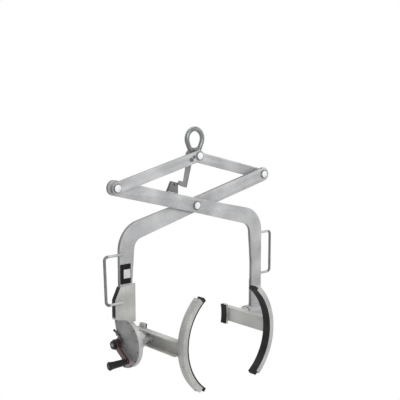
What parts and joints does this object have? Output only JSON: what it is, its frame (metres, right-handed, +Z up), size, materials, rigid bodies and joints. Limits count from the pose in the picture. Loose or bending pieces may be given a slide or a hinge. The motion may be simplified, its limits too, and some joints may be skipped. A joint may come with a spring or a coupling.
{
  "type": "drum lifter",
  "caption": "Self-closing scissor tongs that hang from a hook, grip a steel drum between rubber lined cradles and tip it with a geared hand crank.",
  "frame": {"origin": "hook seat, the highest point inside the lifting eye", "axes": "+Z up; +X along the trunnions, from the crank side to the free side; +Y along the gripped drum, away from its lid"},
  "size_m": [1.211, 0.4083, 1.3499],
  "materials": {
    "plate_steel": "satin silver, brushed",
    "bright_steel": "machined",
    "dark_steel": "oiled",
    "case_iron": "satin grey",
    "bronze": "plain bearing",
    "pad_rubber": "matte",
    "black_plastic": "matte",
    "crank_paint": "dark red-brown"
  },
  "bodies": {
    "eye": {"lifting_eye": "plate_steel", "top_pin": "bright_steel", "pin_rings_eye": "bright_steel", "eye_spacers": "plate_steel"},
    "left_link": {"left_link": "plate_steel", "latch_bolt": "dark_steel", "latch_stop": "dark_steel"},
    "right_link": {"right_link": "plate_steel"},
    "right_arm": {"right_arm": "plate_steel", "left_pivot_pin": "bright_steel", "left_pivot_spacer": "plate_steel", "centre_pin": "bright_steel", "centre_washer": "bronze", "catch_lug": "plate_steel", "right_handle": "plate_steel", "right_foot_plate": "plate_steel", "far_bearing_tube": "plate_steel", "far_bushes": "bronze", "pin_rings_right_arm": "bright_steel"},
    "left_arm": {"left_arm": "plate_steel", "right_pivot_pin": "bright_steel", "right_pivot_spacer": "plate_steel", "left_handle": "plate_steel", "left_foot_plate": "plate_steel", "gear_case": "case_iron", "gear_cover": "case_iron", "cover_screws": "dark_steel", "case_bushes": "bronze", "pawl_pin": "bright_steel", "pawl_stop": "bright_steel", "pin_rings_left_arm": "bright_steel"},
    "latch": {"latch_hook": "plate_steel"},
    "near_cradle": {"near_trunnion": "bright_steel", "drive_gear": "bright_steel", "gear_key": "bright_steel", "near_beam": "plate_steel", "near_arc": "plate_steel", "near_arc_pad": "pad_rubber", "near_saddle": "plate_steel", "near_saddle_pad": "pad_rubber", "near_pad_screws": "dark_steel"},
    "crank": {"crank_shaft": "bright_steel", "pinion": "bright_steel", "ratchet_wheel": "dark_steel", "crank_hub": "black_plastic", "crank_arm": "crank_paint", "grip_pin": "bright_steel"},
    "grip": {"crank_grip": "black_plastic"},
    "pawl": {"lock_pawl": "dark_steel", "pawl_knob": "black_plastic"},
    "far_cradle": {"far_trunnion": "bright_steel", "far_beam": "plate_steel", "far_arc": "plate_steel", "far_arc_pad": "pad_rubber", "far_saddle": "plate_steel", "far_saddle_pad": "pad_rubber", "far_pad_screws": "dark_steel", "far_end_plate": "plate_steel", "far_end_bolt": "dark_steel"}
  },
  "joints": [
    {"name": "left_link_swing", "type": "hinge", "parent": "eye", "child": "left_link", "pos_m": [0, 0, -0.13], "axis": [0, 1, 0], "range_deg": [0, 9]},
    {"name": "right_link_swing", "type": "hinge", "parent": "eye", "child": "right_link", "pos_m": [0, 0, -0.13], "axis": [0, 1, 0], "range_deg": [-9, 0]},
    {"name": "right_arm_swing", "type": "hinge", "parent": "left_link", "child": "right_arm", "pos_m": [-0.5373, 0, -0.265], "axis": [0, 1, 0], "range_deg": [-18, 0]},
    {"name": "left_arm_swing", "type": "hinge", "parent": "right_link", "child": "left_arm", "pos_m": [0.5373, 0, -0.265], "axis": [0, 1, 0], "range_deg": [0, 18]},
    {"name": "latch_swing", "type": "hinge", "parent": "left_link", "child": "latch", "pos_m": [-0.05722, 0, -0.1485], "axis": [0, 1, 0], "range_deg": [0, 62]},
    {"name": "near_cradle_turn", "type": "hinge", "parent": "left_arm", "child": "near_cradle", "pos_m": [0, 0, -1.076], "axis": [1, 0, 0], "continuous": true},
    {"name": "crank_turn", "type": "hinge", "parent": "left_arm", "child": "crank", "pos_m": [0, 0.08129, -1.10085], "axis": [1, 0, 0], "continuous": true},
    {"name": "grip_spin", "type": "hinge", "parent": "crank", "child": "grip", "pos_m": [0, -0.02019, -1.16675], "axis": [1, 0, 0], "continuous": true},
    {"name": "pawl_swing", "type": "hinge", "parent": "left_arm", "child": "pawl", "pos_m": [0, 0.05875, -1.05847], "axis": [1, 0, 0], "range_deg": [0, 12]},
    {"name": "far_cradle_turn", "type": "hinge", "parent": "right_arm", "child": "far_cradle", "pos_m": [0, 0, -1.076], "axis": [1, 0, 0], "continuous": true}
  ],
  "couplings": [
    {"joint": "right_link_swing", "follows": "left_link_swing", "ratio": -1},
    {"joint": "right_arm_swing", "follows": "left_link_swing", "ratio": -2},
    {"joint": "left_arm_swing", "follows": "left_link_swing", "ratio": 2},
    {"joint": "crank_turn", "follows": "near_cradle_turn", "ratio": -3.25}
  ]
}
